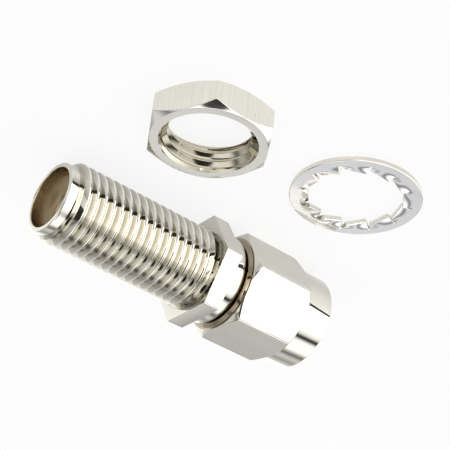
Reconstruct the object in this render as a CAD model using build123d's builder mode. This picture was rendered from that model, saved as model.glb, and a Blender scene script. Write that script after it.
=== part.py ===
from build123d import *
import math
import os

# SMA bulkhead adapter: a threaded jack barrel with a hex flange, and a plug end with a free
# coupling nut. Its lock nut and lock washer lie taken off beside it, on the same table.
# Millimetres. X is the connector's axis and points out of the jack's mouth. The origin is on
# the axis at the flange's front face, the face that seats on a panel. Z is up.

# The 1/4-36 thread that the jack, the coupling nut and the lock nut share, as plain walls:
# the jack's barrel over its crests, both nuts at the bore before the thread is cut
thread_major = 6.25
thread_tap_drill = 5.7
thread_lead_in = 6.75

# Jack end
reach = 12.7
nose_diameter = 5.32
nose_length = 0.65
nose_edge = 0.14
mouth_edge = 0.1
bore_diameter = 4.6
bore_depth = 1.9
relief_diameter = 5.4
relief_length = 0.15
thread_start_bevel = 0.1
seat_undercut = 0.05
seat_clearance = 0.08

# Flange and the round collar behind it, its rear edge turned to a large radius
hex_across_flats = 7.5
flange_thickness = 1.35
flange_edge = 0.25
collar_diameter = 7.0
collar_length = 1.25
collar_round = 0.5

# Line dielectric, centre contact and their captivation
dielectric_diameter = 4.1
contact_diameter = 1.27
contact_face_recess = 0.08
socket_bore = 0.94
socket_depth = 2.4
socket_slot = 0.14
socket_slot_depth = 1.9
pin_diameter = 0.92
pin_length = 2.1
pin_tip_length = 0.35
pin_tip_diameter = 0.3
captive_collar_diameter = 2.0
captive_collar_length = 0.8
split_from_flange = 2.0

# Plug body, pressed into the flange from behind
spigot_diameter = 5.0
spigot_length = 2.4
shank_length = 3.36
ferrule_length = 2.54
ferrule_edge = 0.08
interface_clearance = 0.01

# Coupling nut, its retaining ring and gasket
nut_gap = 0.15
nut_boss_diameter = 7.2
nut_boss_length = 0.22
nut_boss_taper = 0.3
nut_hex_length = 5.65
nut_hex_edge = 0.25
nut_collar_diameter = 7.44
nut_collar_length = 2.22
nut_collar_edge = 0.08
nut_rear_chamfer = 0.38
nut_front_chamfer = 0.6
nut_running_clearance = 0.05
nut_thread_length = 4.4
nut_relief_diameter = 6.5
nut_relief_length = 1.3
ring_thickness = 0.5
ring_outer = 6.3
ring_inner = 4.9
ring_slot = 1.2
ring_from_collar = 1.35
ring_play = 0.15
ring_fit = 0.02
ring_radial_clearance = 0.05
gasket_thickness = 0.76
gasket_outer = 5.5
gasket_land = 0.17
gasket_land_length = 0.6

# Lock nut, lying flat on the table
lock_nut_across_flats = 8.0
lock_nut_thickness = 2.2
lock_nut_face_diameter = 7.92
lock_nut_chamfer = 0.38
lock_nut_edge = 0.15
lock_nut_x = 7.91
lock_nut_y = -11.34
lock_nut_turn = 3.0

# Internal-tooth lock washer, lying flat on the table
washer_outer = 9.5
washer_root_diameter = 8.2
washer_thickness = 0.38
washer_edge = 0.06
washer_clearance = 0.42
washer_teeth = 12
tooth_root_width = 1.8
tooth_tip_width = 1.5
tooth_twist = -14.0
tooth_overlap = 0.1
tooth_root_step = 0.04
washer_x = -4.86
washer_y = -12.14
washer_turn = 14.5

# Stations along the axis, from the mouth to the plug's front
mouth_x = reach
reference_x = mouth_x - bore_depth
collar_rear_x = -flange_thickness - collar_length
spigot_end_x = collar_rear_x + spigot_length
shoulder_x = collar_rear_x - shank_length
ferrule_face_x = shoulder_x - ferrule_length
split_x = split_from_flange
nut_rear_x = collar_rear_x - nut_gap
nut_hex_rear_x = nut_rear_x - nut_boss_length
nut_hex_front_x = nut_hex_rear_x - nut_hex_length
nut_front_x = nut_hex_front_x - nut_collar_length
ring_x = collar_rear_x - ring_from_collar

# Shared radii and heights
thread_r = thread_major / 2
tap_r = thread_tap_drill / 2
lead_in_r = thread_lead_in / 2
bore_r = bore_diameter / 2
dielectric_r = dielectric_diameter / 2
contact_r = contact_diameter / 2
spigot_r = spigot_diameter / 2
shank_r = tap_r - nut_running_clearance
ferrule_r = bore_r - interface_clearance
land_r = ferrule_r + gasket_land
hex_corner_r = hex_across_flats / math.sqrt(3)
lock_nut_corner_r = lock_nut_across_flats / math.sqrt(3)
floor_z = -hex_across_flats / 2
ring_groove_r = ring_inner / 2 - ring_radial_clearance
nut_groove_r = ring_outer / 2 + ring_radial_clearance


# Adapter body: mouth, nose, thread barrel, hex flange and rear collar, turned from one hex bar
with BuildPart() as adapter_body:
    with BuildSketch(Plane.YZ):
        RegularPolygon(hex_across_flats / 2, 6, major_radius=False)
        fillet(vertices(), flange_edge)
        Circle(spigot_r, mode=Mode.SUBTRACT)
    extrude(amount=-flange_thickness)
    nose_r = nose_diameter / 2
    nose_root_x = mouth_x - nose_length
    relief_r = relief_diameter / 2
    collar_r = collar_diameter / 2
    collar_turn_x = collar_rear_x + collar_round
    collar_turn_r = collar_r - collar_round
    with BuildSketch(Plane.XY):
        with BuildLine():
            CenterArc((collar_turn_x, collar_turn_r), collar_round, 90, 90)
            Polyline(
                (collar_turn_x, collar_r),
                (-flange_thickness / 2, collar_r),
                (-flange_thickness / 2, relief_r),
                (relief_length, relief_r),
                (relief_length, thread_r - thread_start_bevel),
                (relief_length + thread_start_bevel, thread_r),
                (nose_root_x - (thread_r - nose_r), thread_r),
                (nose_root_x, nose_r),
                (mouth_x - nose_edge, nose_r),
                (mouth_x, nose_r - nose_edge),
                (mouth_x, bore_r + mouth_edge),
                (mouth_x - mouth_edge, bore_r),
                (reference_x, bore_r),
                (reference_x, dielectric_r),
                (spigot_end_x, dielectric_r),
                (spigot_end_x, spigot_r),
                (collar_rear_x, spigot_r),
                (collar_rear_x, collar_turn_r),
            )
        make_face()
    revolve(axis=Axis.X)
    with BuildSketch(Plane.YZ):
        Circle(thread_r + seat_clearance)
        Circle(relief_r, mode=Mode.SUBTRACT)
    extrude(amount=-seat_undercut, mode=Mode.SUBTRACT)
adapter_body.part.label = "adapter_body"

# Plug body: spigot in the flange, shank with the ring groove, gasket land, mating ferrule
with BuildPart() as plug_body:
    groove_half = ring_thickness / 2 + ring_play
    with BuildSketch(Plane.XY):
        with BuildLine():
            Polyline(
                (spigot_end_x, dielectric_r),
                (spigot_end_x, spigot_r),
                (collar_rear_x, spigot_r),
                (collar_rear_x, shank_r),
                (ring_x + groove_half, shank_r),
                (ring_x + groove_half, ring_groove_r),
                (ring_x - groove_half, ring_groove_r),
                (ring_x - groove_half, shank_r),
                (shoulder_x, shank_r),
                (shoulder_x, land_r),
                (shoulder_x - gasket_land_length, land_r),
                (shoulder_x - gasket_land_length, ferrule_r),
                (ferrule_face_x + ferrule_edge, ferrule_r),
                (ferrule_face_x, ferrule_r - ferrule_edge),
                (ferrule_face_x, dielectric_r),
                close=True,
            )
        make_face()
    revolve(axis=Axis.X)
plug_body.part.label = "plug_body"

# Front insulator, with the pocket that holds the contact's captive collar
with BuildPart() as front_insulator:
    captive_r = captive_collar_diameter / 2
    with BuildSketch(Plane.XY):
        with BuildLine():
            Polyline(
                (reference_x, contact_r),
                (reference_x, dielectric_r),
                (split_x, dielectric_r),
                (split_x, captive_r),
                (split_x + captive_collar_length, captive_r),
                (split_x + captive_collar_length, contact_r),
                close=True,
            )
        make_face()
    revolve(axis=Axis.X)
front_insulator.part.label = "front_insulator"

# Rear insulator, from the split to the ferrule's face
with BuildPart() as rear_insulator:
    with BuildSketch(Plane.YZ.offset(ferrule_face_x)):
        Circle(dielectric_r)
        Circle(contact_r, mode=Mode.SUBTRACT)
    extrude(amount=split_x - ferrule_face_x)
rear_insulator.part.label = "rear_insulator"

# Centre contact: slotted socket at the jack, captive collar, pointed pin at the plug
with BuildPart() as center_contact:
    socket_face_x = reference_x - contact_face_recess
    pin_root_x = ferrule_face_x + contact_face_recess
    pin_tip_x = ferrule_face_x - pin_length
    pin_r = pin_diameter / 2
    with BuildSketch(Plane.XY):
        with BuildLine():
            Polyline(
                (socket_face_x, socket_bore / 2),
                (socket_face_x, contact_r),
                (split_x + captive_collar_length, contact_r),
                (split_x + captive_collar_length, captive_r),
                (split_x, captive_r),
                (split_x, contact_r),
                (pin_root_x, contact_r),
                (pin_root_x, pin_r),
                (pin_tip_x + pin_tip_length, pin_r),
                (pin_tip_x, pin_tip_diameter / 2),
                (pin_tip_x, 0),
                (socket_face_x - socket_depth, 0),
                (socket_face_x - socket_depth, socket_bore / 2),
                close=True,
            )
        make_face()
    revolve(axis=Axis.X)
    with BuildSketch(Plane.YZ.offset(socket_face_x)):
        Rectangle(contact_diameter, socket_slot)
        Rectangle(socket_slot, contact_diameter)
    extrude(amount=-socket_slot_depth, mode=Mode.SUBTRACT)
center_contact.part.label = "center_contact"

# Retaining ring: a split ring that sits in the shank's groove and in the nut's groove
with BuildPart() as retaining_ring:
    with BuildSketch(Plane.YZ.offset(ring_x - ring_thickness / 2)):
        Circle(ring_outer / 2)
        Circle(ring_inner / 2, mode=Mode.SUBTRACT)
        with Locations((0, ring_outer / 2)):
            Rectangle(ring_slot, ring_outer, mode=Mode.SUBTRACT)
    extrude(amount=ring_thickness)
retaining_ring.part.label = "retaining_ring"

# Gasket, round the land behind the ferrule, against the shank's shoulder. Its free face lies
# nearer to the ferrule's face than a jack's bore is deep, so a mated jack presses on it.
with BuildPart() as gasket:
    with BuildSketch(Plane.YZ.offset(shoulder_x)):
        Circle(gasket_outer / 2)
        Circle(land_r, mode=Mode.SUBTRACT)
    extrude(amount=-gasket_thickness)
gasket.part.label = "gasket"

# Coupling nut: hex with turned ends, a tapered rear boss, a round front collar, a grooved bore
with BuildPart() as coupling_nut:
    with BuildSketch(Plane.YZ.offset(nut_hex_front_x)):
        RegularPolygon(hex_across_flats / 2, 6, major_radius=False)
        fillet(vertices(), nut_hex_edge)
    extrude(amount=nut_hex_length)
    front_r = nut_collar_diameter / 2
    with BuildSketch(Plane.XY):
        with BuildLine():
            Polyline(
                (nut_hex_rear_x, 0),
                (nut_hex_rear_x, front_r),
                (nut_hex_rear_x - nut_rear_chamfer, hex_corner_r),
                (nut_hex_front_x + nut_front_chamfer, hex_corner_r),
                (nut_hex_front_x, front_r),
                (nut_hex_front_x, 0),
                close=True,
            )
        make_face()
    revolve(axis=Axis.X, mode=Mode.INTERSECT)
    boss_r = nut_boss_diameter / 2
    with BuildSketch(Plane.XY):
        with BuildLine():
            Polyline(
                (nut_rear_x, 0),
                (nut_rear_x, boss_r - nut_boss_taper),
                (nut_hex_rear_x, boss_r),
                (nut_hex_rear_x, 0),
                close=True,
            )
        make_face()
    revolve(axis=Axis.X)
    with BuildSketch(Plane.XY):
        with BuildLine():
            Polyline(
                (nut_hex_front_x, 0),
                (nut_hex_front_x, front_r),
                (nut_front_x + nut_collar_edge, front_r),
                (nut_front_x, front_r - nut_collar_edge),
                (nut_front_x, 0),
                close=True,
            )
        make_face()
    revolve(axis=Axis.X)
    nut_groove_half = ring_thickness / 2 + ring_fit
    nut_relief_r = nut_relief_diameter / 2
    nut_thread_end_x = nut_front_x + nut_thread_length
    lead_in_depth = lead_in_r - tap_r
    with BuildSketch(Plane.XY):
        with BuildLine():
            Polyline(
                (nut_rear_x, 0),
                (nut_rear_x, tap_r),
                (ring_x + nut_groove_half, tap_r),
                (ring_x + nut_groove_half, nut_groove_r),
                (ring_x - nut_groove_half, nut_groove_r),
                (ring_x - nut_groove_half, tap_r),
                (nut_thread_end_x + nut_relief_length, tap_r),
                (nut_thread_end_x + nut_relief_length, nut_relief_r),
                (nut_thread_end_x, nut_relief_r),
                (nut_thread_end_x, tap_r),
                (nut_front_x + lead_in_depth, tap_r),
                (nut_front_x, lead_in_r),
                (nut_front_x, 0),
                close=True,
            )
        make_face()
    revolve(axis=Axis.X, mode=Mode.SUBTRACT)
coupling_nut.part.label = "coupling_nut"

# Lock nut: hex with both faces chamfered and a countersunk hole
lock_nut_axis = Plane(origin=(lock_nut_x, lock_nut_y, floor_z))
with BuildPart() as lock_nut:
    with BuildSketch(lock_nut_axis):
        RegularPolygon(
            lock_nut_across_flats / 2, 6, major_radius=False, rotation=lock_nut_turn
        )
        fillet(vertices(), lock_nut_edge)
    extrude(amount=lock_nut_thickness)
    face_r = lock_nut_face_diameter / 2
    sink_depth = lead_in_r - tap_r
    lock_nut_section = Plane(origin=lock_nut_axis.origin, x_dir=(1, 0, 0), z_dir=(0, -1, 0))
    lock_nut_line = Axis(lock_nut_axis.origin, (0, 0, 1))
    with BuildSketch(lock_nut_section):
        with BuildLine():
            Polyline(
                (tap_r, sink_depth),
                (lead_in_r, 0),
                (face_r, 0),
                (lock_nut_corner_r, lock_nut_chamfer),
                (lock_nut_corner_r, lock_nut_thickness - lock_nut_chamfer),
                (face_r, lock_nut_thickness),
                (lead_in_r, lock_nut_thickness),
                (tap_r, lock_nut_thickness - sink_depth),
                close=True,
            )
        make_face()
    revolve(axis=lock_nut_line, mode=Mode.INTERSECT)
lock_nut.part.label = "lock_nut"

# One tooth of the lock washer, a small blade twisted about its own radius
tooth_tip_r = (thread_major + washer_clearance) / 2
tooth_root_r = washer_root_diameter / 2 + tooth_overlap
with BuildPart() as washer_tooth:
    root_plane = Plane(origin=(tooth_root_r, 0, 0), x_dir=(0, 1, 0), z_dir=(-1, 0, 0))
    tip_direction = Vector(0, 1, 0).rotate(Axis.X, tooth_twist)
    tip_plane = Plane(origin=(tooth_tip_r, 0, 0), x_dir=tip_direction, z_dir=(-1, 0, 0))
    with BuildSketch(root_plane):
        Rectangle(tooth_root_width, washer_thickness - 2 * tooth_root_step)
    with BuildSketch(tip_plane):
        Rectangle(tooth_tip_width, washer_thickness)
    loft()

# Lock washer: a flat ring with its teeth inside, standing on the teeth's lower corners
tooth_low = -washer_tooth.part.bounding_box().min.Z
washer_plane = Plane(origin=(washer_x, washer_y, floor_z + tooth_low))
with BuildPart(washer_plane) as lock_washer:
    with BuildSketch(washer_plane.offset(-washer_thickness / 2)):
        Circle(washer_outer / 2)
        Circle(washer_root_diameter / 2, mode=Mode.SUBTRACT)
    extrude(amount=washer_thickness)
    chamfer(edges().filter_by(GeomType.CIRCLE).group_by(SortBy.RADIUS)[-1], washer_edge)
    with PolarLocations(0, washer_teeth, start_angle=washer_turn):
        add(washer_tooth.part)
lock_washer.part.label = "lock_washer"

# Write one file per piece
os.makedirs("parts", exist_ok=True)
export_step(adapter_body.part, "parts/adapter_body.step")
export_step(plug_body.part, "parts/plug_body.step")
export_step(front_insulator.part, "parts/front_insulator.step")
export_step(rear_insulator.part, "parts/rear_insulator.step")
export_step(center_contact.part, "parts/center_contact.step")
export_step(retaining_ring.part, "parts/retaining_ring.step")
export_step(gasket.part, "parts/gasket.step")
export_step(coupling_nut.part, "parts/coupling_nut.step")
export_step(lock_nut.part, "parts/lock_nut.step")
export_step(lock_washer.part, "parts/lock_washer.step")
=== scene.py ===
import math

import bmesh
import bpy
import numpy as np
from mathutils import Matrix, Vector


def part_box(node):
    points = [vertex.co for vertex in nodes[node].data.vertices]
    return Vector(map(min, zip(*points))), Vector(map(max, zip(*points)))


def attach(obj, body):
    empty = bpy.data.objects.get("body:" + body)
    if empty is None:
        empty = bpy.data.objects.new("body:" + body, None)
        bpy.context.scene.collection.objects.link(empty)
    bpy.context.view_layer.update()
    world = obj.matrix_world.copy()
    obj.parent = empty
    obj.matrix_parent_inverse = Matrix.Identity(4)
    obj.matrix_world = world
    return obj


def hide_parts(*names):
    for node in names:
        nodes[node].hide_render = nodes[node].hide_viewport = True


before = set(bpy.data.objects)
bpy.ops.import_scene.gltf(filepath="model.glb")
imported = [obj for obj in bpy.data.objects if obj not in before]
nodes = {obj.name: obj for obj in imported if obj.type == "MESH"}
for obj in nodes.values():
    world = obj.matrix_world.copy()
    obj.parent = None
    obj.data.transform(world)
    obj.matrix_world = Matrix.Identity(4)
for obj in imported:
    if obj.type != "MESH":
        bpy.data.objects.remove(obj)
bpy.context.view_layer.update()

# Lengths are in millimetres and become metres where a mesh, the floor or the camera is made.
# X is the connector's axis, out of the jack's mouth; the origin is on the axis at the flange's
# front face; Z is up.
MM = 0.001


def box_mm(node):
    """Lowest and highest corner of a CAD node, in millimetres."""
    low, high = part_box(node)
    return np.array(low) / MM, np.array(high) / MM


body_low, body_high = box_mm("adapter_body")
nut_low, nut_high = box_mm("coupling_nut")
lock_low, lock_high = box_mm("lock_nut")
washer_low, washer_high = box_mm("lock_washer")

# Thread: 36 turns to the inch, 60 degrees between flanks, crests and roots rounded
THREAD_PITCH = 25.4 / 36
THREAD_CREST_R = 3.125
THREAD_ROOT_R = 2.69
THREAD_CREST_ROUND = 0.045
THREAD_CREST_STEPS = 8
THREAD_ROOT_ROUND = 0.03
THREAD_ROOT_STEPS = 2
THREAD_PHASE = 0.31
FLANK_ANGLE = math.radians(30)

# Adapter body
MOUTH_X = body_high[0]
NOSE_R = 2.66
NOSE_LENGTH = 0.65
NOSE_EDGE = 0.14
BORE_R = 2.3
BORE_EDGE = 0.06
DIELECTRIC_R = 2.05
REFERENCE_X = box_mm("front_insulator")[1][0]
HEX_HALF = body_high[2]
FLANGE_REAR_X = -1.35
FLANGE_EDGE = 0.26
COLLAR_R = 3.5
COLLAR_ROUND = 0.5
COLLAR_REAR_X = body_low[0]
SPIGOT_R = 2.5
SPIGOT_END_X = box_mm("plug_body")[1][0]
UNDERCUT_R = 3.205
UNDERCUT_X = -0.05
RUN_OUT_R = 2.68
RUN_OUT_X = 0.03
RUN_OUT_SLOPE = 2.5

# Coupling nut
NUT_REAR_X = nut_high[0]
NUT_FRONT_X = nut_low[0]
NUT_REAR_FACE_R = 3.3
NUT_BOSS_R = 3.6
NUT_HEX_REAR_X = -2.97
NUT_HEX_FRONT_X = -8.62
NUT_COLLAR_R = 3.72
NUT_COLLAR_EDGE = 0.08
NUT_HEX_EDGE = 0.27
NUT_REAR_CHAMFER = 0.38
NUT_FRONT_CHAMFER = 0.6
NUT_BORE_R = 2.85
NUT_GROOVE_R = 3.2
NUT_GROOVE_REAR_X = -3.68
NUT_GROOVE_FRONT_X = -4.22
NUT_RELIEF_R = 3.25
NUT_RELIEF_REAR_X = -5.14
NUT_THREAD_END_X = -6.44
INNER_ROOT_R = 3.2
LEAD_IN_R = 3.375

# Lock nut, about its own upright axis
LOCK_CENTRE = (lock_low + lock_high) / 2
LOCK_HALF = 4.0
LOCK_THICKNESS = lock_high[2] - lock_low[2]
LOCK_FACE_R = 3.96
LOCK_CHAMFER = 0.38
LOCK_EDGE = 0.15
LOCK_TURN = math.radians(3)

# Lock washer: its ring's rows from the rim inward, and one tooth
WASHER_CENTRE = (washer_low + washer_high) / 2
WASHER_THICKNESS = 0.38
WASHER_RING_R = (4.75, 4.6, 4.4, 4.22, 4.1)
WASHER_TEETH = 12
WASHER_TURN = math.radians(14.5)
WASHER_EDGE = 0.05
WASHER_EDGE_STEPS = 3
WASHER_EDGE_ANGLE = math.radians(50)
TOOTH_ROOT_HALF = 0.98
TOOTH_TIP_HALF = 0.77
TOOTH_TIP_R = 3.335
TOOTH_TWIST = math.radians(-14)
TOOTH_STEPS = 8
TOOTH_ACROSS = np.linspace(-1, 1, 11)

SMALL_EDGE = 0.03
FLOOR_Z = body_low[2]
SIXTY = math.radians(60)

# Columns of a hex piece's mesh on each flat and each rounded corner
FLANGE_COLUMNS = (28, 4)
NUT_COLUMNS = (26, 6)

# Roundings: the most that one takes of its shorter side, and how many steps it has
ROUND_SHARE = 0.45
ROUND_STEPS = 4
LARGE_ROUND = 0.3
LARGE_ROUND_STEPS = 12

# Mesh finish: points this close are one, and steeper edges than this stay sharp
WELD_DISTANCE = 3e-4
SHARP_ANGLE = math.radians(32)
NORMAL_WEIGHT = 80
TINY = 1e-9

# Material slots of the turned pieces, the first two of the lock nut, and those of the washer
BRIGHT, FLATS, THREAD, BORE = range(4)
LOCK_SIDES, LOCK_FACES = range(2)
WASHER_FACES, WASHER_RIMS = range(2)


# Outlines round the axis

def hex_columns(half, edge, per_flat, per_corner):
    """Column angles round a hexagon with rounded corners, closer together at the corners."""
    reach = math.atan(math.tan(SIXTY / 2) * (1 - edge / half))
    flat = np.linspace(-reach, reach, per_flat + 1)
    corner = np.linspace(reach, SIXTY - reach, per_corner + 1)[1:-1]
    sector = np.concatenate([flat, corner])
    return np.concatenate([sector + SIXTY * k for k in range(6)])


def hex_radius(columns, half, edge):
    """Distance from the axis to a hexagon's rounded outline, at each column's angle."""
    angle = np.abs((columns + SIXTY / 2) % SIXTY - SIXTY / 2)
    reach = math.atan(math.tan(SIXTY / 2) * (1 - edge / half))
    centre = (half - edge) / math.cos(SIXTY / 2)
    off = SIXTY / 2 - angle
    arc = centre * np.cos(off) + np.sqrt(np.maximum(edge**2 - (centre * np.sin(off)) ** 2, 0))
    return np.where(angle <= reach, half / np.cos(angle), arc)


# Sections: a corner is (x, r, edge, slot), where x and r are numbers or one value for each
# column, edge is the size of its rounding, and slot is the material of the surface after it

def curve(before, corner, after, edge, steps):
    """Points on the arc that rounds a corner, for all columns at once.

    The edge is how far from the corner the arc starts and ends."""
    back, on = before - corner, after - corner
    long_back = np.linalg.norm(back, axis=-1, keepdims=True)
    long_on = np.linalg.norm(on, axis=-1, keepdims=True)
    cut = np.minimum(edge, ROUND_SHARE * np.minimum(long_back, long_on))
    back = back / np.maximum(long_back, TINY)
    on = on / np.maximum(long_on, TINY)
    start, end = corner + back * cut, corner + on * cut
    weight = np.sqrt((1 - np.sum(back * on, axis=-1, keepdims=True)) / 2)
    made = []
    for t in np.linspace(0, 1, steps + 1):
        a, b, c = (1 - t) ** 2, 2 * t * (1 - t) * weight, t**2
        made.append((a * start + b * corner + c * end) / (a + b + c))
    return made


def section_rows(corners, count):
    """Rows of (x, r) for every column, and the slot of the surface after each row."""
    points = [
        np.stack(np.broadcast_arrays(x, r, np.zeros(count))[:2], -1).astype(float)
        for x, r, _, _ in corners
    ]
    rows, slots = [], []
    for i, (_, _, edge, slot) in enumerate(corners):
        if edge > 0 and 0 < i < len(corners) - 1:
            steps = LARGE_ROUND_STEPS if edge > LARGE_ROUND else ROUND_STEPS
            made = curve(points[i - 1], points[i], points[i + 1], edge, steps)
        else:
            made = [points[i]]
        rows += made
        slots += [slot] * len(made)
    return rows, slots


def thread_samples():
    """One pitch of the thread as (offset, share of the depth), with rounded crests and roots."""
    depth = THREAD_CREST_R - THREAD_ROOT_R
    peak = depth + THREAD_CREST_ROUND
    flank = peak * math.tan(FLANK_ANGLE)
    crest = np.array([0.0, peak])
    root_start = np.array([flank, 0.0])
    root_end = np.array([THREAD_PITCH - flank, 0.0])
    shift = np.array([THREAD_PITCH, 0.0])
    crest_cut = THREAD_CREST_ROUND / math.tan(FLANK_ANGLE)
    samples = curve(root_end - shift, crest, root_start, crest_cut, THREAD_CREST_STEPS)
    samples += curve(crest, root_start, root_end, THREAD_ROOT_ROUND, THREAD_ROOT_STEPS)
    samples += curve(root_start, root_end, crest + shift, THREAD_ROOT_ROUND, THREAD_ROOT_STEPS)
    return [(x, share / depth) for x, share in samples]


def helix_rows(start, stop, columns, crest, root, envelope, phase=0.0):
    """Rows of (x, r) along a right-hand thread from start to stop, and how many a pitch has.

    The envelope is the plain surface that cuts the thread off, and lies past its root at both
    ends, so the end rings are plain circles that a section's own rows can meet. The turns begin
    and end outside the stretch, by enough for every column to reach both ends."""
    samples = thread_samples()
    turns = math.ceil((stop - start) / THREAD_PITCH) + 2
    base = start + THREAD_PITCH * (phase - 1.5)
    along = np.array([base + THREAD_PITCH * k + x for k in range(turns) for x, _ in samples])
    radius = np.array([root + (crest - root) * share for _ in range(turns) for _, share in samples])
    x = along[:, None] + (columns / (2 * math.pi) * THREAD_PITCH)[None, :]
    clipped = np.clip(x, start, stop)
    limit = envelope(clipped)
    cut = np.minimum if crest > root else np.maximum
    r = np.where((x <= start) | (x >= stop), limit, cut(radius[:, None], limit))
    return np.stack([clipped, r], -1), len(samples)


# Meshes

def quads(rows, count, first=0, step=0):
    """Quads between rows of columns, and the row that each belongs to.

    The step is how many rows further on the last column joins the first."""
    faces, owners = [], []
    for i in range(rows - 1):
        a = first + i * count
        b = a + count
        for j in range(count - 1):
            faces.append((a + j, a + j + 1, b + j + 1, b + j))
            owners.append(i)
        if i + 1 + step < rows:
            c, d = a + step * count, b + step * count
            faces.append((a + count - 1, c, d, b + count - 1))
            owners.append(i)
    return faces, owners


def turned(name, columns, corners, thread, materials, place=None):
    """A piece turned about X from a closed section, with a helical thread along one stretch.

    The section's first and last corners are the rings where the thread starts and ends."""
    count = len(columns)
    rows, row_slots = section_rows(corners, count)
    helix, per_pitch = thread
    flat = np.concatenate([np.stack(rows), helix])
    points = np.empty(flat.shape[:2] + (3,))
    points[..., 0] = flat[..., 0]
    points[..., 1] = -flat[..., 1] * np.sin(columns)
    points[..., 2] = flat[..., 1] * np.cos(columns)
    faces, owners = quads(len(rows), count)
    thread_faces, _ = quads(len(helix), count, first=len(rows) * count, step=per_pitch)
    slots = [row_slots[i] for i in owners] + [THREAD] * len(thread_faces)
    return mesh_object(name, points.reshape(-1, 3), faces + thread_faces, slots, materials, place)


def linked(name, data):
    """An object in the scene's collection."""
    obj = bpy.data.objects.new(name, data)
    bpy.context.scene.collection.objects.link(obj)
    return obj


def mesh_object(name, points, faces, slots, materials, place=None):
    """A welded mesh object with smooth shading, sharp edges and face-weighted normals."""
    if place is not None:
        points = points @ place[0].T + place[1]
    mesh = bpy.data.meshes.new(name)
    mesh.from_pydata((points * MM).tolist(), [], faces)
    for material in materials:
        mesh.materials.append(material)
    mesh.polygons.foreach_set("material_index", np.array(slots, np.int32))
    mesh.polygons.foreach_set("use_smooth", np.ones(len(faces), bool))
    work = bmesh.new()
    work.from_mesh(mesh)
    bmesh.ops.remove_doubles(work, verts=work.verts, dist=WELD_DISTANCE * MM)
    bmesh.ops.recalc_face_normals(work, faces=work.faces)
    work.to_mesh(mesh)
    work.free()
    mesh.set_sharp_from_angle(angle=SHARP_ANGLE)
    obj = linked(name, mesh)
    normals = obj.modifiers.new("face_weighted_normals", "WEIGHTED_NORMAL")
    normals.keep_sharp = True
    normals.weight = NORMAL_WEIGHT
    return obj


# Nodes that materials and the world are made of

# The stretch of a noise's values over which a tone or a roughness runs from one end to the other
NOISE_RANGE = (0.3, 0.7)
NOISE_DETAIL = 3.0
NOISE_ROUGHNESS = 0.55


def material_tree(name):
    """A new node material, its node tree and its shader."""
    material = bpy.data.materials.new(name)
    material.use_nodes = True
    tree = material.node_tree
    return material, tree, tree.nodes["Principled BSDF"]


def math_node(tree, operation, a, b=None):
    """The output of a math node on numbers or other nodes' outputs."""
    node = tree.nodes.new("ShaderNodeMath")
    node.operation = operation
    for socket, value in zip(node.inputs, (a, b)):
        if isinstance(value, (int, float)):
            socket.default_value = value
        elif value is not None:
            tree.links.new(value, socket)
    return node.outputs[0]


def map_range(tree, value, source, target=(0.0, 1.0), kind="LINEAR"):
    """A number that runs over the target range while the value runs over the source range."""
    node = tree.nodes.new("ShaderNodeMapRange")
    node.interpolation_type = kind
    node.inputs["From Min"].default_value, node.inputs["From Max"].default_value = source
    node.inputs["To Min"].default_value, node.inputs["To Max"].default_value = target
    tree.links.new(value, node.inputs["Value"])
    return node.outputs["Result"]


def ramp(tree, factor, stops):
    """A colour ramp from (position, colour) stops."""
    node = tree.nodes.new("ShaderNodeValToRGB")
    elements = node.color_ramp.elements
    while len(elements) < len(stops):
        elements.new(0.5)
    for element, (position, colour) in zip(elements, stops):
        element.position = position
        element.color = (*colour, 1)
    tree.links.new(factor, node.inputs["Fac"])
    return node.outputs["Color"]


def graded(tree, value, unit, span, stops):
    """The amount that (place, amount) stops give at a value, straight from stop to stop.

    Places are in the given unit and lie within the span."""
    start, end = span
    share = map_range(tree, value, (start * unit, end * unit))
    top = max(amount for _, amount in stops)
    greys = [((place - start) / (end - start), (amount / top,) * 3) for place, amount in stops]
    return math_node(tree, "MULTIPLY", ramp(tree, share, greys), top)


def noise_mm(tree, scale):
    """Noise over the object's own coordinates; scale is in features per millimetre on X, Y, Z."""
    where = tree.nodes.new("ShaderNodeTexCoord")
    mapping = tree.nodes.new("ShaderNodeMapping")
    mapping.inputs["Scale"].default_value = [s / MM for s in scale]
    noise = tree.nodes.new("ShaderNodeTexNoise")
    noise.inputs["Scale"].default_value = 1.0
    noise.inputs["Detail"].default_value = NOISE_DETAIL
    noise.inputs["Roughness"].default_value = NOISE_ROUGHNESS
    tree.links.new(where.outputs["Object"], mapping.inputs["Vector"])
    tree.links.new(mapping.outputs["Vector"], noise.inputs["Vector"])
    return noise.outputs["Fac"]


def mottled(tree, noise, dark, light):
    """A tone that runs from dark to light with the noise."""
    return ramp(tree, noise, list(zip(NOISE_RANGE, (dark, light))))


def object_axes(tree):
    """The object's own X, Y and Z."""
    where = tree.nodes.new("ShaderNodeTexCoord")
    split = tree.nodes.new("ShaderNodeSeparateXYZ")
    tree.links.new(where.outputs["Object"], split.inputs[0])
    return split.outputs["X"], split.outputs["Y"], split.outputs["Z"]


def ray_kinds(tree):
    """One for what a lens or glass sees, and one for what a mirror sees."""
    path = tree.nodes.new("ShaderNodeLightPath")
    seen = math_node(
        tree, "MAXIMUM", path.outputs["Is Camera Ray"], path.outputs["Is Transmission Ray"]
    )
    return seen, path.outputs["Is Glossy Ray"]


def bump(tree, shader, height, strength, distance):
    """Fine relief; distance is in millimetres."""
    node = tree.nodes.new("ShaderNodeBump")
    node.inputs["Strength"].default_value = strength
    node.inputs["Distance"].default_value = distance * MM
    tree.links.new(height, node.inputs["Height"])
    tree.links.new(node.outputs["Normal"], shader.inputs["Normal"])


# Materials

MARK_DEPTH = 0.002
GRAIN_DEPTH = 0.01
# Painted shade: a brown tone in the recess between the collar and the nut, where shade falls, and how
# far it takes over along X
RECESS_SHADE_TONE = (0.31, 0.26, 0.19)
RECESS_SHADE_SPAN = (-3.5, -1.5)
RECESS_SHADE_BY_X = ((-3.0, 0.0), (-2.96, 1.0), (-2.38, 1.0), (-2.06, 0.0))
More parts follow.
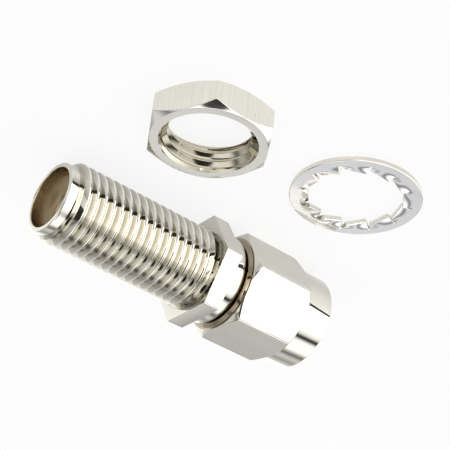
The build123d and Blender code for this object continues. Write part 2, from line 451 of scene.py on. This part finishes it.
# Painted shade: a darker, browner tone down in the roots of the barrel's thread, where shade falls,
# and how far it takes over below the crests
ROOT_SHADE_TONE = (0.41, 0.385, 0.32)
ROOT_SHADE_SPAN = (0.0, 1.0)
ROOT_SHADE_BY_DEPTH = ((0.02, 0.0), (0.07, 0.6), (0.4, 1.0))


def tinged(tree, tone, part, other):
    """The tone, with the other one in its place as far as the part says."""
    mix = tree.nodes.new("ShaderNodeMix")
    mix.data_type = "RGBA"
    tree.links.new(part, mix.inputs["Factor"])
    tree.links.new(tone, mix.inputs["A"])
    mix.inputs["B"].default_value = (*other, 1)
    return mix.outputs["Result"]


def recess_shaded(tree, tone):
    """The same tone with painted shade: darker and browner in the recess between the collar and the
    nut.
    """
    x, _, _ = object_axes(tree)
    return tinged(tree, tone, graded(tree, x, MM, RECESS_SHADE_SPAN, RECESS_SHADE_BY_X), RECESS_SHADE_TONE)


def root_shaded(tree, tone):
    """The same tone with painted shade: darker and browner down in the roots of the barrel's thread.
    """
    _, y, z = object_axes(tree)
    squares = [math_node(tree, "POWER", value, 2.0) for value in (y, z)]
    radius = math_node(tree, "SQRT", math_node(tree, "ADD", *squares))
    down = math_node(tree, "SUBTRACT", THREAD_CREST_R * MM, radius)
    return tinged(tree, tone, graded(tree, down, MM, ROOT_SHADE_SPAN, ROOT_SHADE_BY_DEPTH), ROOT_SHADE_TONE)


def metal(name, dark, light, rough, marks, relief, cloud=(0.5, 0.5, 0.5), tinge=None):
    """Plated or bare metal: soft cloudiness in its colour, painted shade where a tinge is given, and
    fine marks in roughness and relief.
    """
    material, tree, shader = material_tree(name)
    shader.inputs["Metallic"].default_value = 1.0
    tone = mottled(tree, noise_mm(tree, cloud), dark, light)
    # A tinge paints shade into the tone.
    if tinge:
        tone = tinge(tree, tone)
    tree.links.new(tone, shader.inputs["Base Color"])
    fine = noise_mm(tree, marks)
    tree.links.new(map_range(tree, fine, NOISE_RANGE, rough), shader.inputs["Roughness"])
    bump(tree, shader, fine, relief, MARK_DEPTH)
    return material


def soft_solid(name, dark, light, rough, scale, relief):
    """Plastic or rubber, mottled and with a fine surface."""
    material, tree, shader = material_tree(name)
    fine = noise_mm(tree, scale)
    tree.links.new(mottled(tree, fine, dark, light), shader.inputs["Base Color"])
    tree.links.new(map_range(tree, fine, NOISE_RANGE, rough), shader.inputs["Roughness"])
    bump(tree, shader, fine, relief, GRAIN_DEPTH)
    return material


NICKEL_DARK = (0.63, 0.61, 0.55)
NICKEL_LIGHT = (0.665, 0.645, 0.585)
# Fine marks, in features per millimetre on X, Y and Z
TURNED = (28, 1.2, 1.2)
ALONG = (1.2, 28, 28)
UPRIGHT = (28, 28, 1.2)

# The outside nickel carries painted shade in the recess between the collar and the nut.
bright = metal(
    "bright_nickel", NICKEL_DARK, NICKEL_LIGHT, (0.025, 0.06), TURNED, 0.12, tinge=recess_shaded
)
flats = metal("nickel_flats", NICKEL_DARK, NICKEL_LIGHT, (0.04, 0.1), ALONG, 0.12)
# The barrel's thread carries painted shade in its roots.
barrel_thread = metal(
    "nickel_thread", (0.8, 0.78, 0.72), (0.83, 0.81, 0.75), (0.03, 0.08), TURNED, 0.1, tinge=root_shaded
)
# Painted shade: the nuts' inner threads are much darker and browner than the outside nickel, where
# shade falls inside the bores.
threaded = metal(
    "nickel_nut_thread_shaded", (0.39, 0.36, 0.285), (0.45, 0.42, 0.34), (0.05, 0.12), TURNED, 0.1
)
# Painted shade: the bores are darker and browner than the outside nickel, where shade falls inside
# them; their rougher turned finish is real.
shaded_bore = metal("nickel_bore_shaded", (0.43, 0.355, 0.245), (0.53, 0.45, 0.325), (0.14, 0.26), TURNED, 0.4)
satin = metal(
    "satin_nickel", (0.54, 0.525, 0.465), (0.615, 0.605, 0.54), (0.16, 0.27), UPRIGHT, 0.6,
    cloud=(13, 13, 0.3),
)
faced = metal("nickel_faces", (0.74, 0.725, 0.68), (0.78, 0.765, 0.72), (0.06, 0.14), UPRIGHT, 0.12)
washer_metal = metal(
    "washer_nickel", (0.76, 0.755, 0.755), (0.82, 0.815, 0.82), (0.08, 0.16), (3, 3, 3), 0.15
)
rim_metal = metal(
    "washer_rim_nickel", (0.5, 0.485, 0.42), (0.58, 0.565, 0.5), (0.12, 0.2), UPRIGHT, 0.2
)
bronze = metal("spring_bronze", (0.6, 0.44, 0.27), (0.7, 0.53, 0.34), (0.2, 0.32), (9, 9, 9), 0.3)
gold = metal("contact_gold", (0.8, 0.6, 0.27), (0.86, 0.68, 0.34), (0.1, 0.2), TURNED, 0.3)
insulator = soft_solid(
    "insulator_white", (0.78, 0.76, 0.71), (0.84, 0.82, 0.77), (0.4, 0.55), (14, 3, 3), 0.2
)
rubber = soft_solid(
    "gasket_rubber", (0.42, 0.13, 0.07), (0.52, 0.18, 0.1), (0.55, 0.7), (8, 8, 8), 0.3
)


# Adapter body

def adapter_body():
    """Mouth, nose, threaded barrel, hex flange and the round collar behind it."""
    columns = hex_columns(HEX_HALF, FLANGE_EDGE, *FLANGE_COLUMNS)
    outline = hex_radius(columns, HEX_HALF, FLANGE_EDGE)
    nose_x = MOUTH_X - NOSE_LENGTH

    def envelope(x):
        run_out = RUN_OUT_R + (x - RUN_OUT_X) * RUN_OUT_SLOPE
        return np.minimum(np.minimum(run_out, NOSE_R + (nose_x - x)), THREAD_CREST_R)

    corners = [
        (nose_x, NOSE_R, 0, BRIGHT),
        (MOUTH_X, NOSE_R, NOSE_EDGE, BRIGHT),
        (MOUTH_X, BORE_R, BORE_EDGE, BORE),
        (REFERENCE_X, BORE_R, SMALL_EDGE, BORE),
        (REFERENCE_X, DIELECTRIC_R, SMALL_EDGE, BORE),
        (SPIGOT_END_X, DIELECTRIC_R, 0, BRIGHT),
        (SPIGOT_END_X, SPIGOT_R, 0, BRIGHT),
        (COLLAR_REAR_X, SPIGOT_R, 0, BRIGHT),
        (COLLAR_REAR_X, COLLAR_R, COLLAR_ROUND, BRIGHT),
        (FLANGE_REAR_X, COLLAR_R, SMALL_EDGE, BRIGHT),
        (FLANGE_REAR_X, outline, SMALL_EDGE, FLATS),
        (0, outline, SMALL_EDGE, BRIGHT),
        (0, UNDERCUT_R, SMALL_EDGE, BRIGHT),
        (UNDERCUT_X, UNDERCUT_R, 0, BRIGHT),
        (UNDERCUT_X, RUN_OUT_R, 0, BRIGHT),
        (RUN_OUT_X, RUN_OUT_R, 0, BRIGHT),
    ]
    thread = helix_rows(
        RUN_OUT_X, nose_x, columns, THREAD_CREST_R, THREAD_ROOT_R, envelope, THREAD_PHASE
    )
    return turned(
        "adapter_body_finish", columns, corners, thread, [bright, flats, barrel_thread, shaded_bore]
    )


# Coupling nut

def chamfer_step(outline, face_r, half, depth):
    """How far behind the face a chamfer cone meets the hexagon, at each column."""
    corner_r = half / math.cos(SIXTY / 2)
    return np.maximum(outline - face_r, 0) / (corner_r - face_r) * depth


def coupling_nut():
    """Rear boss, hex with turned ends, round front collar, grooved and threaded bore."""
    columns = hex_columns(HEX_HALF, NUT_HEX_EDGE, *NUT_COLUMNS)
    outline = hex_radius(columns, HEX_HALF, NUT_HEX_EDGE)
    rear_x = NUT_HEX_REAR_X - chamfer_step(outline, NUT_COLLAR_R, HEX_HALF, NUT_REAR_CHAMFER)
    front_x = NUT_HEX_FRONT_X + chamfer_step(outline, NUT_COLLAR_R, HEX_HALF, NUT_FRONT_CHAMFER)

    def envelope(x):
        lead_in = LEAD_IN_R - (x - NUT_FRONT_X)
        run_out = NUT_RELIEF_R - (NUT_THREAD_END_X - x)
        return np.maximum(np.maximum(lead_in, run_out), NUT_BORE_R)

    corners = [
        (NUT_THREAD_END_X, NUT_RELIEF_R, 0, BORE),
        (NUT_RELIEF_REAR_X, NUT_RELIEF_R, 0, BORE),
        (NUT_RELIEF_REAR_X, NUT_BORE_R, SMALL_EDGE, BORE),
        (NUT_GROOVE_FRONT_X, NUT_BORE_R, 0, BORE),
        (NUT_GROOVE_FRONT_X, NUT_GROOVE_R, 0, BORE),
        (NUT_GROOVE_REAR_X, NUT_GROOVE_R, 0, BORE),
        (NUT_GROOVE_REAR_X, NUT_BORE_R, 0, BORE),
        (NUT_REAR_X, NUT_BORE_R, SMALL_EDGE, BRIGHT),
        (NUT_REAR_X, NUT_REAR_FACE_R, SMALL_EDGE, BRIGHT),
        (NUT_HEX_REAR_X, NUT_BOSS_R, SMALL_EDGE, BRIGHT),
        (NUT_HEX_REAR_X, NUT_COLLAR_R, SMALL_EDGE, BRIGHT),
        (rear_x, outline, SMALL_EDGE, FLATS),
        (front_x, outline, SMALL_EDGE, BRIGHT),
        (NUT_HEX_FRONT_X, NUT_COLLAR_R, SMALL_EDGE, BRIGHT),
        (NUT_FRONT_X, NUT_COLLAR_R, NUT_COLLAR_EDGE, BRIGHT),
        (NUT_FRONT_X, LEAD_IN_R, 0, BRIGHT),
    ]
    thread = helix_rows(
        NUT_FRONT_X, NUT_THREAD_END_X, columns, NUT_BORE_R, INNER_ROOT_R, envelope
    )
    return turned(
        "coupling_nut_finish", columns, corners, thread, [bright, flats, threaded, shaded_bore]
    )


# Lock nut

def lock_nut():
    """Hex nut lying on the table, both faces chamfered, with a wide lead-in to its thread."""
    columns = hex_columns(LOCK_HALF, LOCK_EDGE, *NUT_COLUMNS)
    outline = hex_radius(columns, LOCK_HALF, LOCK_EDGE)
    step = chamfer_step(outline, LOCK_FACE_R, LOCK_HALF, LOCK_CHAMFER)

    def envelope(x):
        low = LEAD_IN_R - x
        high = LEAD_IN_R - (LOCK_THICKNESS - x)
        return np.maximum(np.maximum(low, high), NUT_BORE_R)

    corners = [
        (LOCK_THICKNESS, LEAD_IN_R, 0, LOCK_FACES),
        (LOCK_THICKNESS, LOCK_FACE_R, SMALL_EDGE, LOCK_FACES),
        (LOCK_THICKNESS - step, outline, SMALL_EDGE, LOCK_SIDES),
        (step, outline, SMALL_EDGE, LOCK_FACES),
        (0, LOCK_FACE_R, SMALL_EDGE, LOCK_FACES),
        (0, LEAD_IN_R, 0, LOCK_FACES),
    ]
    thread = helix_rows(0, LOCK_THICKNESS, columns, NUT_BORE_R, INNER_ROOT_R, envelope)
    turn = LOCK_TURN + SIXTY / 2
    upright = np.array([[0, 0, -1], [0, 1, 0], [1, 0, 0]])
    about_z = np.array([
        [math.cos(turn), -math.sin(turn), 0],
        [math.sin(turn), math.cos(turn), 0],
        [0, 0, 1],
    ])
    place = (about_z @ upright, np.array([LOCK_CENTRE[0], LOCK_CENTRE[1], lock_low[2]]))
    return turned("lock_nut_finish", columns, corners, thread, [satin, faced, threaded], place)


# Lock washer

def washer_points(turn, across, step):
    """Upper and lower point of the washer at one column of a tooth's sector and one row.

    The first rows are the ring's, the later ones run down the tooth to its tip."""
    ring_r = WASHER_RING_R[min(step, len(WASHER_RING_R) - 1)]
    share = max(step + 1 - len(WASHER_RING_R), 0) / TOOTH_STEPS
    angle = across * TOOTH_ROOT_HALF / WASHER_RING_R[-1]
    out = (1 - share) * ring_r * math.cos(angle) + share * TOOTH_TIP_R
    aside = (1 - share) * ring_r * math.sin(angle) + share * across * TOOTH_TIP_HALF
    twist = TOOTH_TWIST * share * share * (3 - 2 * share)
    made = []
    for height in (WASHER_THICKNESS / 2, -WASHER_THICKNESS / 2):
        side = aside * math.cos(twist) - height * math.sin(twist)
        made.append((
            out * math.cos(turn) - side * math.sin(turn),
            out * math.sin(turn) + side * math.cos(turn),
            aside * math.sin(twist) + height * math.cos(twist),
        ))
    return made


def lock_washer():
    """Flat ring that stands on its teeth, each a petal twisted about its own radius."""
    ring_steps = len(WASHER_RING_R)
    steps = ring_steps + TOOTH_STEPS
    # The middle of the gap between two teeth, where only the ring has points
    gap = math.pi / WASHER_TEETH * WASHER_RING_R[-1] / TOOTH_ROOT_HALF
    columns = [(k, across) for k in range(WASHER_TEETH) for across in (*TOOTH_ACROSS, gap)]
    index, upper, lower = {}, [], []
    for column, (k, across) in enumerate(columns):
        turn = WASHER_TURN + 2 * math.pi * k / WASHER_TEETH
        for step in range(ring_steps if across == gap else steps):
            index[column, step] = len(upper)
            up, down = washer_points(turn, across, step)
            upper.append(up)
            lower.append(down)
    total = len(upper)
    faces, slots, edges = [], [], set()
    for column in range(len(columns)):
        beside = (column + 1) % len(columns)
        for step in range(steps - 1):
            around = ((column, step), (beside, step), (beside, step + 1), (column, step + 1))
            if all(place in index for place in around):
                face = [index[place] for place in around]
                faces += [face, [i + total for i in reversed(face)]]
                slots += [WASHER_FACES] * 2
                edges.update(zip(face, face[1:] + face[:1]))
    # An edge that belongs to one quad only is on the outline, and gets a wall
    for a, b in sorted(edges):
        if (b, a) not in edges:
            faces.append([b, a, a + total, b + total])
            slots.append(WASHER_RIMS)
    points = np.array(upper + lower) + WASHER_CENTRE
    obj = mesh_object("lock_washer_finish", points, faces, slots, [washer_metal, rim_metal])
    rounding = obj.modifiers.new("edge_rounding", "BEVEL")
    rounding.width = WASHER_EDGE * MM
    rounding.segments = WASHER_EDGE_STEPS
    rounding.limit_method = "ANGLE"
    rounding.angle_limit = WASHER_EDGE_ANGLE
    # The rounding comes before the normals
    obj.modifiers.move(1, 0)
    return obj


body = adapter_body()
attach(body, "adapter")
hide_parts("adapter_body")

nut = coupling_nut()
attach(nut, "nut")
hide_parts("coupling_nut")

lock = lock_nut()
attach(lock, "adapter")
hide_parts("lock_nut")

washer = lock_washer()
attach(washer, "adapter")
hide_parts("lock_washer")

carried_over = {
    "plug_body": bright,
    "front_insulator": insulator,
    "rear_insulator": insulator,
    "center_contact": gold,
    "retaining_ring": bronze,
    "gasket": rubber,
}
for name, material in carried_over.items():
    slots = nodes[name].data.materials
    slots.clear()
    slots.append(material)


# Studio: a white table, long soft lights with dark gaps between them, and a low light strip

FLOOR_SIZE = 4000.0
TABLE_ROUGHNESS = 0.9
TABLE_TONES = ((0.91, 0.91, 0.91), (0.93, 0.93, 0.93))
TABLE_GRAIN = (0.02, 0.02, 0.02)
SEEN_GLOW = 0.85
MIRRORED_GLOW = 0.6
# Painted shade and painted light that mirrors see on the table, by the distance from the connector's
# axis: painted shade beneath the barrel, with a painted light and a dark band beside it, less shade
# beneath the hexes and the nut, and brighter glow farther out, with a blend between along X
TABLE_REACH = (0.0, 14.0)
MIRRORED_SHADE_BY_BARREL = (
    (0.0, 0.85), (2.0, 0.95), (3.3, 1.4), (4.2, 1.15), (5.5, 0.7), (6.3, 0.45), (6.6, 1.5),
    (14.0, 1.7),
)
MIRRORED_SHADE_BY_NUT = ((3.5, 0.92), (6.5, 1.35), (14.0, 1.7))
NUT_TO_BARREL = (-1.0, 2.0)


def stage_sheet(name, corners, material):
    """A flat sheet of the studio, which isn't part of the object."""
    mesh = bpy.data.meshes.new(name)
    mesh.from_pydata([[value * MM for value in corner] for corner in corners], [], [(0, 1, 2, 3)])
    mesh.materials.append(material)
    obj = linked(name, mesh)
    return obj


def table_material():
    """A white table that a lens and glass see as white, with a faint shadow; mirrors see it with
    painted shade beneath the pieces and painted light farther out.
    """
    material, tree, shader = material_tree("white_table")
    shader.inputs["Roughness"].default_value = TABLE_ROUGHNESS
    white = mottled(tree, noise_mm(tree, TABLE_GRAIN), *TABLE_TONES)
    tree.links.new(white, shader.inputs["Base Color"])
    seen, glossy = ray_kinds(tree)
    share = math_node(
        tree, "ADD",
        math_node(tree, "MULTIPLY", seen, SEEN_GLOW),
        math_node(tree, "MULTIPLY", glossy, MIRRORED_GLOW),
    )
    x, y, _ = object_axes(tree)
    away = math_node(tree, "ABSOLUTE", y)
    blend = tree.nodes.new("ShaderNodeMix")
    tree.links.new(
        map_range(tree, x, [end * MM for end in NUT_TO_BARREL]), blend.inputs["Factor"]
    )
    tree.links.new(graded(tree, away, MM, TABLE_REACH, MIRRORED_SHADE_BY_NUT), blend.inputs["A"])
    tree.links.new(graded(tree, away, MM, TABLE_REACH, MIRRORED_SHADE_BY_BARREL), blend.inputs["B"])
    # Painted shade and painted light for mirrors: the glow's strength rises and falls with the
    # distance from the axis.
    extra = math_node(tree, "SUBTRACT", blend.outputs["Result"], 1.0)
    painted_glow = math_node(tree, "MULTIPLY", extra, glossy)
    glow = tree.nodes.new("ShaderNodeEmission")
    glow.inputs["Color"].default_value = (1, 1, 1, 1)
    tree.links.new(math_node(tree, "ADD", painted_glow, 1.0), glow.inputs["Strength"])
    mix = tree.nodes.new("ShaderNodeMixShader")
    tree.links.new(share, mix.inputs["Fac"])
    tree.links.new(shader.outputs["BSDF"], mix.inputs[1])
    tree.links.new(glow.outputs["Emission"], mix.inputs[2])
    tree.links.new(mix.outputs["Shader"], tree.nodes["Material Output"].inputs["Surface"])
    return material


def floor():
    """The table that the pieces lie on."""
    half = FLOOR_SIZE / 2
    corners = [(-half, -half), (half, -half), (half, half), (-half, half)]
    stage_sheet("table", [(x, y, FLOOR_Z) for x, y in corners], table_material())


# Light strip along the connector's near side: its ends along X, the height there of its dark
# lower rim and of the light itself, and where its light ends
STRIP_Y = -6.5
STRIP_TOP = 2.6
STRIP_ENDS = ((14.5, -4.6, -2.6), (-17.0, 0.35, 0.6))
STRIP_LIGHT = 2.8
STRIP_RIM = (0.09, 0.07, 0.05)


def strip_band(name, corners, colour, strength):
    """One band of the light strip, seen only in mirrors, and clear from behind."""
    material = bpy.data.materials.new(name)
    material.use_nodes = True
    tree = material.node_tree
    glow = tree.nodes.new("ShaderNodeEmission")
    glow.inputs["Color"].default_value = (*colour, 1)
    glow.inputs["Strength"].default_value = strength
    side = tree.nodes.new("ShaderNodeNewGeometry")
    clear = tree.nodes.new("ShaderNodeBsdfTransparent")
    mix = tree.nodes.new("ShaderNodeMixShader")
    tree.links.new(side.outputs["Backfacing"], mix.inputs["Fac"])
    tree.links.new(glow.outputs["Emission"], mix.inputs[1])
    tree.links.new(clear.outputs["BSDF"], mix.inputs[2])
    tree.links.new(mix.outputs["Shader"], tree.nodes["Material Output"].inputs["Surface"])
    band = stage_sheet(name, [(x, STRIP_Y, z) for x, z in corners], material)
    band.visible_camera = False
    band.visible_diffuse = False
    band.visible_transmission = False
    band.visible_shadow = False


def light_strip():
    """A low strip of light with a dark rim under it, along the connector's near side."""
    (right, right_rim, right_light), (left, left_rim, left_light) = STRIP_ENDS
    rim = [(right, right_rim), (left, left_rim), (left, left_light), (right, right_light)]
    lamp = [(right, right_light), (left, left_light), (left, STRIP_TOP), (right, STRIP_TOP)]
    strip_band("strip_rim", rim, STRIP_RIM, 1.0)
    strip_band("strip_light", lamp, (1, 1, 1), STRIP_LIGHT)


DEGREE = math.radians(1)
HALF_TURN = (0.0, 180.0)
# Height of a reflected direction over the near side of the table, in degrees, and its light
STUDIO = (
    (0, 3.0),
    (38, 3.0),
    (45, 1.9),
    (52, 1.4),
    (60, 1.3),
    (72, 1.4),
    (84, 1.75),
    (103, 1.7),
    (110, 1.4),
    (114, 0.9),
    (119, 0.45),
    (124, 0.24),
    (129, 0.48),
    (134, 0.8),
    (142, 0.86),
    (150, 0.6),
    (157, 0.46),
    (166, 0.7),
    (180, 0.95),
)
# A dark bar among the lights: how much it takes away by height, and by how far along X it is
BAR_BY_HEIGHT = ((55, 0.0), (60, 0.5), (62.5, 0.93), (68.5, 0.93), (71, 0.5), (77, 0.0))
BAR_BY_REACH = (
    (-1.0, 1.0), (-0.56, 1.0), (-0.545, 0.05), (-0.495, 0.05), (-0.475, 0.85), (-0.44, 0.8),
    (-0.35, 0.4), (0.0, 0.0),
)
BAR_REACH = (-1.0, 1.0)
# Dark openings between the lights: direction, half width and soft edge in degrees
OPENINGS = (
    ((0.14, -0.26, 0.955), 17, 3),
    ((0.93, -0.29, 0.23), 25, 3),
)
OPENING_LIGHT = 0.03
PLAIN_LIGHT = 0.95


def studio():
    """The room's light: what mirrors see of it is long soft lights, the rest is plain."""
    world = bpy.data.worlds.new("studio")
    bpy.context.scene.world = world
    world.use_nodes = True
    tree = world.node_tree
    background = tree.nodes["Background"]

    where = tree.nodes.new("ShaderNodeTexCoord")
    split = tree.nodes.new("ShaderNodeSeparateXYZ")
    tree.links.new(where.outputs["Generated"], split.inputs[0])
    near = math_node(tree, "MULTIPLY", split.outputs["Y"], -1.0)
    height = math_node(tree, "ARCTAN2", split.outputs["Z"], near)
    mirrored = graded(tree, height, DEGREE, HALF_TURN, STUDIO)
    by_height = graded(tree, height, DEGREE, HALF_TURN, BAR_BY_HEIGHT)
    by_reach = graded(tree, split.outputs["X"], 1.0, BAR_REACH, BAR_BY_REACH)
    bar = math_node(tree, "MULTIPLY", by_height, by_reach)
    mirrored = math_node(tree, "MULTIPLY", mirrored, math_node(tree, "SUBTRACT", 1.0, bar))

    for direction, half_width, edge in OPENINGS:
        cosine = tree.nodes.new("ShaderNodeVectorMath")
        cosine.operation = "DOT_PRODUCT"
        cosine.inputs[1].default_value = direction
        tree.links.new(where.outputs["Generated"], cosine.inputs[0])
        away = math_node(tree, "ARCCOSINE", cosine.outputs["Value"])
        soft = (math.radians(half_width - edge), math.radians(half_width + edge))
        left = map_range(tree, away, soft, (OPENING_LIGHT, 1.0), "SMOOTHSTEP")
        mirrored = math_node(tree, "MULTIPLY", mirrored, left)

    seen, glossy = ray_kinds(tree)
    plain = math_node(tree, "MULTIPLY", math_node(tree, "SUBTRACT", 1.0, glossy), PLAIN_LIGHT)
    strength = math_node(tree, "ADD", plain, math_node(tree, "MULTIPLY", mirrored, glossy))
    rest = math_node(tree, "MULTIPLY", strength, math_node(tree, "SUBTRACT", 1.0, seen))
    tree.links.new(math_node(tree, "ADD", rest, seen), background.inputs["Strength"])
    background.inputs["Color"].default_value = (1, 1, 1, 1)


# Camera: the photograph looks down on the table, turned by a little more than half a turn

CAMERA_AZIMUTH = math.radians(36.69)
CAMERA_ELEVATION = math.radians(32.045)
CAMERA_ROLL = math.radians(186.478)
CAMERA_DISTANCE = 100.035
CAMERA_TARGET = np.array([2.162, -6.477, 0.0])
CAMERA_SENSOR = 36.0
CAMERA_LENS = 114.14
CAMERA_NEAR = 1.0
CAMERA_FAR = 20000.0


def camera():
    """A long lens at the photograph's viewing angle."""
    azimuth, elevation, roll = CAMERA_AZIMUTH, CAMERA_ELEVATION, CAMERA_ROLL
    back = np.array([
        math.sin(azimuth) * math.cos(elevation),
        -math.cos(azimuth) * math.cos(elevation),
        math.sin(elevation),
    ])
    level = np.array([math.cos(azimuth), math.sin(azimuth), 0.0])
    upward = np.cross(back, level)
    right = level * math.cos(roll) + upward * math.sin(roll)
    up = upward * math.cos(roll) - level * math.sin(roll)
    data = bpy.data.cameras.new("camera")
    data.sensor_fit = "HORIZONTAL"
    data.sensor_width = CAMERA_SENSOR
    data.lens = CAMERA_LENS
    data.clip_start = CAMERA_NEAR * MM
    data.clip_end = CAMERA_FAR * MM
    obj = linked("camera", data)
    stand = np.eye(4)
    stand[:3, 0], stand[:3, 1], stand[:3, 2] = right, up, back
    stand[:3, 3] = (CAMERA_TARGET + back * CAMERA_DISTANCE) * MM
    obj.matrix_world = Matrix(stand.tolist())
    bpy.context.scene.camera = obj


floor()
light_strip()
studio()
camera()
bpy.context.scene.view_settings.view_transform = "Standard"
